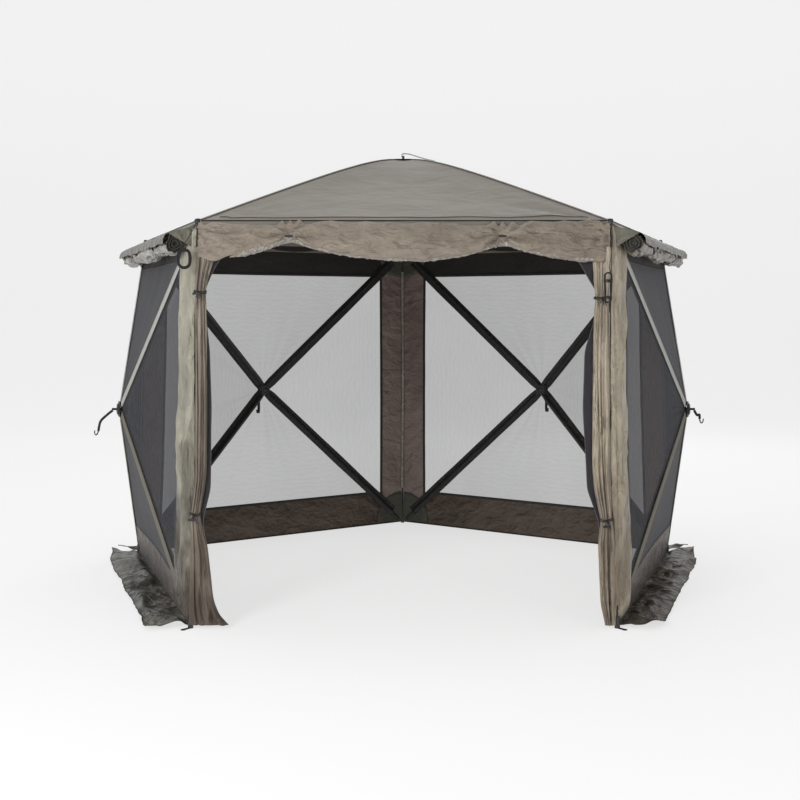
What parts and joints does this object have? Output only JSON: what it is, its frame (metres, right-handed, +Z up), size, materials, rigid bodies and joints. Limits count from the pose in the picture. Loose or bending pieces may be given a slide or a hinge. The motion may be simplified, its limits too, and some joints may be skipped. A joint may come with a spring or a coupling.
{
  "type": "screen house",
  "caption": "Five-sided pop-up screen house with mesh walls, bowed roof, sprung hubs, rolled wind panels, ground skirts and one open side as the door.",
  "frame": {"origin": "middle of the model's box, on the ground", "axes": "+Z up, -Y out of the open side, +X to the right seen from the open side"},
  "size_m": [3.4278, 3.1291, 2.174],
  "materials": {
    "roof_cloth": "coated polyester with a soft sheen",
    "wall_cloth": "coated polyester bands and columns",
    "mesh": "fine knitted no-see-um mesh",
    "wind_panel_cloth": "crinkled coated polyester",
    "skirt_cloth": "shiny PU-coated polyester",
    "curtain_cloth": "gathered coated polyester",
    "pole_fibreglass": "black fibreglass",
    "hub_plastic": "moulded glass-filled nylon",
    "binding_tape": "woven binding tape",
    "black_webbing": "woven polyester webbing",
    "grey_webbing": "woven polyester webbing",
    "guy_cord": "braided polypropylene cord"
  },
  "bodies": {
    "shelter": {"door_valance_roll": "wind_panel_cloth", "right_wind_roll": "wind_panel_cloth", "back_right_wind_roll": "wind_panel_cloth", "back_left_wind_roll": "wind_panel_cloth", "left_wind_roll": "wind_panel_cloth", "ground_skirts": "skirt_cloth", "door_curtain_left": "curtain_cloth", "door_curtain_right": "curtain_cloth", "corner_fittings": "hub_plastic", "seam_bindings": "binding_tape", "tie_toggles": "hub_plastic", "stake_tabs": "black_webbing", "guy_lead_left": "guy_cord", "guy_hank_left": "guy_cord", "guy_lead_right": "guy_cord", "guy_hank_right": "guy_cord"},
    "left_hub_body": {"left_hub": "hub_plastic"},
    "left_strap_body": {"left_pull_strap": "black_webbing"},
    "left_top_body": {"left_top_panel": "wall_cloth", "left_upper_poles": "pole_fibreglass"},
    "left_bottom_body": {"left_bottom_panel": "wall_cloth", "left_lower_poles": "pole_fibreglass"},
    "left_front_body": {"left_front_panel": "mesh"},
    "left_rear_body": {"left_rear_panel": "mesh"},
    "right_hub_body": {"right_hub": "hub_plastic"},
    "right_strap_body": {"right_pull_strap": "black_webbing"},
    "right_top_body": {"right_top_panel": "wall_cloth", "right_upper_poles": "pole_fibreglass"},
    "right_bottom_body": {"right_bottom_panel": "wall_cloth", "right_lower_poles": "pole_fibreglass"},
    "right_front_body": {"right_front_panel": "mesh"},
    "right_rear_body": {"right_rear_panel": "mesh"},
    "back_left_hub_body": {"back_left_hub": "hub_plastic"},
    "back_left_strap_body": {"back_left_pull_strap": "black_webbing"},
    "back_left_top_body": {"back_left_top_panel": "wall_cloth", "back_left_upper_poles": "pole_fibreglass"},
    "back_left_bottom_body": {"back_left_bottom_panel": "wall_cloth", "back_left_lower_poles": "pole_fibreglass"},
    "back_left_front_body": {"back_left_front_panel": "mesh"},
    "back_left_rear_body": {"back_left_rear_panel": "mesh"},
    "back_right_hub_body": {"back_right_hub": "hub_plastic"},
    "back_right_strap_body": {"back_right_pull_strap": "black_webbing"},
    "back_right_top_body": {"back_right_top_panel": "wall_cloth", "back_right_upper_poles": "pole_fibreglass"},
    "back_right_bottom_body": {"back_right_bottom_panel": "wall_cloth", "back_right_lower_poles": "pole_fibreglass"},
    "back_right_front_body": {"back_right_front_panel": "mesh"},
    "back_right_rear_body": {"back_right_rear_panel": "mesh"},
    "roof_hub_body": {"roof_hub": "hub_plastic"},
    "roof_strap_body": {"roof_pull_strap": "grey_webbing"},
    "roof_front_body": {"roof_front_panel": "roof_cloth"},
    "roof_right_body": {"roof_right_panel": "roof_cloth"},
    "roof_back_right_body": {"roof_back_right_panel": "roof_cloth"},
    "roof_back_left_body": {"roof_back_left_panel": "roof_cloth"},
    "roof_left_body": {"roof_left_panel": "roof_cloth"},
    "roof_pole_front_left_body": {"roof_pole_front_left": "pole_fibreglass"},
    "roof_pole_front_right_body": {"roof_pole_front_right": "pole_fibreglass"},
    "roof_pole_right_body": {"roof_pole_right": "pole_fibreglass"},
    "roof_pole_back_body": {"roof_pole_back": "pole_fibreglass"},
    "roof_pole_left_body": {"roof_pole_left": "pole_fibreglass"}
  },
  "joints": [
    {"name": "left_hub_pop", "type": "slide", "parent": "shelter", "child": "left_hub_body", "axis": [-0.9506, -0.3089, 0.0315], "range_m": [-0.444, 0]},
    {"name": "left_top_fold", "type": "hinge", "parent": "shelter", "child": "left_top_body", "pos_m": [-1.15848, -0.60275, 1.757], "axis": [-0.309, 0.9511, 0], "range_deg": [-28.91, 0.4]},
    {"name": "left_bottom_fold", "type": "hinge", "parent": "shelter", "child": "left_bottom_body", "pos_m": [-1.21084, -0.61977, 0.01], "axis": [0.309, -0.9511, 0], "range_deg": [-28.91, 0.4]},
    {"name": "left_front_fold", "type": "hinge", "parent": "shelter", "child": "left_front_body", "pos_m": [-0.90453, -1.47131, 0.90419], "axis": [0.0229, 0.0315, 0.9992], "range_deg": [-27.97, 0.4]},
    {"name": "left_rear_fold", "type": "hinge", "parent": "shelter", "child": "left_rear_body", "pos_m": [-1.46355, 0.2492, 0.90419], "axis": [-0.037, 0.012, -0.9992], "range_deg": [-27.97, 0.4]},
    {"name": "left_strap_swing", "type": "hinge", "parent": "left_hub_body", "child": "left_strap_body", "pos_m": [-1.42421, -0.68909, 0.89144], "axis": [-0.309, 0.9511, 0], "range_deg": [0, 120]},
    {"name": "right_hub_pop", "type": "slide", "parent": "shelter", "child": "right_hub_body", "axis": [0.9506, -0.3089, 0.0315], "range_m": [-0.444, 0]},
    {"name": "right_top_fold", "type": "hinge", "parent": "shelter", "child": "right_top_body", "pos_m": [1.15848, -0.60275, 1.757], "axis": [-0.309, -0.9511, 0], "range_deg": [-28.91, 0.4]},
    {"name": "right_bottom_fold", "type": "hinge", "parent": "shelter", "child": "right_bottom_body", "pos_m": [1.21084, -0.61977, 0.01], "axis": [0.309, 0.9511, 0], "range_deg": [-28.91, 0.4]},
    {"name": "right_front_fold", "type": "hinge", "parent": "shelter", "child": "right_front_body", "pos_m": [0.90453, -1.47131, 0.90419], "axis": [0.0229, -0.0315, -0.9992], "range_deg": [-27.97, 0.4]},
    {"name": "right_rear_fold", "type": "hinge", "parent": "shelter", "child": "right_rear_body", "pos_m": [1.46355, 0.2492, 0.90419], "axis": [-0.037, -0.012, 0.9992], "range_deg": [-27.97, 0.4]},
    {"name": "right_strap_swing", "type": "hinge", "parent": "right_hub_body", "child": "right_strap_body", "pos_m": [1.42421, -0.68909, 0.89144], "axis": [-0.309, -0.9511, 0], "range_deg": [0, 120]},
    {"name": "back_left_hub_pop", "type": "slide", "parent": "shelter", "child": "back_left_hub_body", "axis": [-0.5875, 0.8086, 0.0315], "range_m": [-0.444, 0]},
    {"name": "back_left_top_fold", "type": "hinge", "parent": "shelter", "child": "back_left_top_body", "pos_m": [-0.71598, 0.75912, 1.757], "axis": [0.809, 0.5878, 0], "range_deg": [-28.91, 0.4]},
    {"name": "back_left_bottom_fold", "type": "hinge", "parent": "shelter", "child": "back_left_bottom_body", "pos_m": [-0.74834, 0.80366, 0.01], "axis": [-0.809, -0.5878, 0], "range_deg": [-28.91, 0.4]},
    {"name": "back_left_front_fold", "type": "hinge", "parent": "shelter", "child": "back_left_front_body", "pos_m": [-1.46355, 0.2492, 0.90419], "axis": [0.037, -0.012, 0.9992], "range_deg": [-27.97, 0.4]},
    {"name": "back_left_rear_fold", "type": "hinge", "parent": "shelter", "child": "back_left_rear_body", "pos_m": [0, 1.31253, 0.90419], "axis": [0, 0.0389, -0.9992], "range_deg": [-27.97, 0.4]},
    {"name": "back_left_strap_swing", "type": "hinge", "parent": "back_left_hub_body", "child": "back_left_strap_body", "pos_m": [-0.88021, 0.98516, 0.89144], "axis": [0.809, 0.5878, 0], "range_deg": [0, 120]},
    {"name": "back_right_hub_pop", "type": "slide", "parent": "shelter", "child": "back_right_hub_body", "axis": [0.5875, 0.8086, 0.0315], "range_m": [-0.444, 0]},
    {"name": "back_right_top_fold", "type": "hinge", "parent": "shelter", "child": "back_right_top_body", "pos_m": [0.71598, 0.75912, 1.757], "axis": [0.809, -0.5878, 0], "range_deg": [-28.91, 0.4]},
    {"name": "back_right_bottom_fold", "type": "hinge", "parent": "shelter", "child": "back_right_bottom_body", "pos_m": [0.74834, 0.80366, 0.01], "axis": [-0.809, 0.5878, 0], "range_deg": [-28.91, 0.4]},
    {"name": "back_right_front_fold", "type": "hinge", "parent": "shelter", "child": "back_right_front_body", "pos_m": [1.46355, 0.2492, 0.90419], "axis": [0.037, 0.012, -0.9992], "range_deg": [-27.97, 0.4]},
    {"name": "back_right_rear_fold", "type": "hinge", "parent": "shelter", "child": "back_right_rear_body", "pos_m": [0, 1.31253, 0.90419], "axis": [0, -0.0389, 0.9992], "range_deg": [-27.97, 0.4]},
    {"name": "back_right_strap_swing", "type": "hinge", "parent": "back_right_hub_body", "child": "back_right_strap_body", "pos_m": [0.88021, 0.98516, 0.89144], "axis": [0.809, -0.5878, 0], "range_deg": [0, 120]},
    {"name": "roof_hub_pop", "type": "slide", "parent": "shelter", "child": "roof_hub_body", "axis": [0, 0, 1], "range_m": [-0.79, 0]},
    {"name": "roof_front_fold", "type": "hinge", "parent": "shelter", "child": "roof_front_body", "pos_m": [0, -1.44444, 1.757], "axis": [1, 0, 0], "range_deg": [-36.33, 0.4]},
    {"name": "roof_right_fold", "type": "hinge", "parent": "shelter", "child": "roof_right_body", "pos_m": [1.15848, -0.60275, 1.757], "axis": [0.309, 0.9511, 0], "range_deg": [-36.33, 0.4]},
    {"name": "roof_back_right_fold", "type": "hinge", "parent": "shelter", "child": "roof_back_right_body", "pos_m": [0.71598, 0.75912, 1.757], "axis": [-0.809, 0.5878, 0], "range_deg": [-36.33, 0.4]},
    {"name": "roof_back_left_fold", "type": "hinge", "parent": "shelter", "child": "roof_back_left_body", "pos_m": [-0.71598, 0.75912, 1.757], "axis": [-0.809, -0.5878, 0], "range_deg": [-36.33, 0.4]},
    {"name": "roof_left_fold", "type": "hinge", "parent": "shelter", "child": "roof_left_body", "pos_m": [-1.15848, -0.60275, 1.757], "axis": [0.309, -0.9511, 0], "range_deg": [-36.33, 0.4]},
    {"name": "roof_pole_front_left_fold", "type": "hinge", "parent": "shelter", "child": "roof_pole_front_left_body", "pos_m": [-0.885, -1.44444, 1.757], "axis": [0.809, -0.5878, 0], "range_deg": [-29.8, 0.4]},
    {"name": "roof_pole_front_right_fold", "type": "hinge", "parent": "shelter", "child": "roof_pole_front_right_body", "pos_m": [0.885, -1.44444, 1.757], "axis": [0.809, 0.5878, 0], "range_deg": [-29.8, 0.4]},
    {"name": "roof_pole_right_fold", "type": "hinge", "parent": "shelter", "child": "roof_pole_right_body", "pos_m": [1.43196, 0.23893, 1.757], "axis": [-0.309, 0.9511, 0], "range_deg": [-29.8, 0.4]},
    {"name": "roof_pole_back_fold", "type": "hinge", "parent": "shelter", "child": "roof_pole_back_body", "pos_m": [0, 1.27931, 1.757], "axis": [-1, 0, 0], "range_deg": [-29.8, 0.4]},
    {"name": "roof_pole_left_fold", "type": "hinge", "parent": "shelter", "child": "roof_pole_left_body", "pos_m": [-1.43196, 0.23893, 1.757], "axis": [-0.309, -0.9511, 0], "range_deg": [-29.8, 0.4]},
    {"name": "roof_strap_swing", "type": "hinge", "parent": "roof_hub_body", "child": "roof_strap_body", "pos_m": [0, -0.22634, 2.168], "axis": [0, -1, 0], "range_deg": [-0.4, 40.4]}
  ],
  "couplings": [
    {"joint": "left_top_fold", "follows": "left_hub_pop", "rad_per_m": 1.1206},
    {"joint": "left_bottom_fold", "follows": "left_hub_pop", "rad_per_m": 1.1206},
    {"joint": "left_front_fold", "follows": "left_hub_pop", "rad_per_m": 1.0838},
    {"joint": "left_rear_fold", "follows": "left_hub_pop", "rad_per_m": 1.0838},
    {"joint": "right_top_fold", "follows": "right_hub_pop", "rad_per_m": 1.1206},
    {"joint": "right_bottom_fold", "follows": "right_hub_pop", "rad_per_m": 1.1206},
    {"joint": "right_front_fold", "follows": "right_hub_pop", "rad_per_m": 1.0838},
    {"joint": "right_rear_fold", "follows": "right_hub_pop", "rad_per_m": 1.0838},
    {"joint": "back_left_top_fold", "follows": "back_left_hub_pop", "rad_per_m": 1.1206},
    {"joint": "back_left_bottom_fold", "follows": "back_left_hub_pop", "rad_per_m": 1.1206},
    {"joint": "back_left_front_fold", "follows": "back_left_hub_pop", "rad_per_m": 1.0838},
    {"joint": "back_left_rear_fold", "follows": "back_left_hub_pop", "rad_per_m": 1.0838},
    {"joint": "back_right_top_fold", "follows": "back_right_hub_pop", "rad_per_m": 1.1206},
    {"joint": "back_right_bottom_fold", "follows": "back_right_hub_pop", "rad_per_m": 1.1206},
    {"joint": "back_right_front_fold", "follows": "back_right_hub_pop", "rad_per_m": 1.0838},
    {"joint": "back_right_rear_fold", "follows": "back_right_hub_pop", "rad_per_m": 1.0838},
    {"joint": "roof_front_fold", "follows": "roof_hub_pop", "rad_per_m": 0.79387},
    {"joint": "roof_right_fold", "follows": "roof_hub_pop", "rad_per_m": 0.79387},
    {"joint": "roof_back_right_fold", "follows": "roof_hub_pop", "rad_per_m": 0.79387},
    {"joint": "roof_back_left_fold", "follows": "roof_hub_pop", "rad_per_m": 0.79387},
    {"joint": "roof_left_fold", "follows": "roof_hub_pop", "rad_per_m": 0.79387},
    {"joint": "roof_pole_front_left_fold", "follows": "roof_hub_pop", "rad_per_m": 0.64953},
    {"joint": "roof_pole_front_right_fold", "follows": "roof_hub_pop", "rad_per_m": 0.64953},
    {"joint": "roof_pole_right_fold", "follows": "roof_hub_pop", "rad_per_m": 0.64953},
    {"joint": "roof_pole_back_fold", "follows": "roof_hub_pop", "rad_per_m": 0.64953},
    {"joint": "roof_pole_left_fold", "follows": "roof_hub_pop", "rad_per_m": 0.64953},
    {"joint": "roof_strap_swing", "follows": "roof_hub_pop", "rad_per_m": -0.88371}
  ]
}
